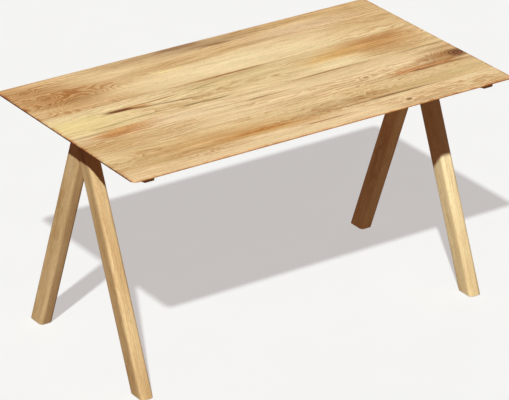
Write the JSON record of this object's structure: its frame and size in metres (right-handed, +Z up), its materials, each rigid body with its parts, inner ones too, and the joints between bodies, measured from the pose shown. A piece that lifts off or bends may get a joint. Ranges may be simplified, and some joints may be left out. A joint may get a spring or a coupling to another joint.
{
  "type": "trestle table",
  "caption": "Rectangular solid-wood table top with a thin bevelled rim, screwed down on two A-frame trestle legs with mitred heads and head rails.",
  "frame": {"origin": "on the floor, under the middle of the top", "axes": "+X along the length of the top, +Y to the rear long edge, +Z up"},
  "size_m": [1.38, 0.8, 0.765],
  "materials": {
    "top_wood": "oiled, fine open grain",
    "trestle_wood": "oiled, straight grain",
    "dowel_wood": "raw, fluted",
    "screw_steel": "black oxide",
    "zinc_steel": "zinc plated",
    "insert_brass": "turned",
    "glide_plastic": "moulded, fine grain"
  },
  "bodies": {
    "root": {"top_board_1": "top_wood", "top_board_2": "top_wood", "top_board_3": "top_wood", "top_board_4": "top_wood", "top_board_5": "top_wood", "left_rail": "trestle_wood", "left_rear_leg": "trestle_wood", "left_front_leg": "trestle_wood", "left_mitre_dowels": "dowel_wood", "left_rail_screws": "screw_steel", "left_washers": "zinc_steel", "left_threaded_inserts": "insert_brass", "right_rail": "trestle_wood", "right_rear_leg": "trestle_wood", "right_front_leg": "trestle_wood", "right_mitre_dowels": "dowel_wood", "right_rail_screws": "screw_steel", "right_washers": "zinc_steel", "right_threaded_inserts": "insert_brass", "left_rear_glide": "glide_plastic", "left_front_glide": "glide_plastic", "right_rear_glide": "glide_plastic", "right_front_glide": "glide_plastic", "glide_nails": "zinc_steel"}
  },
  "joints": []
}
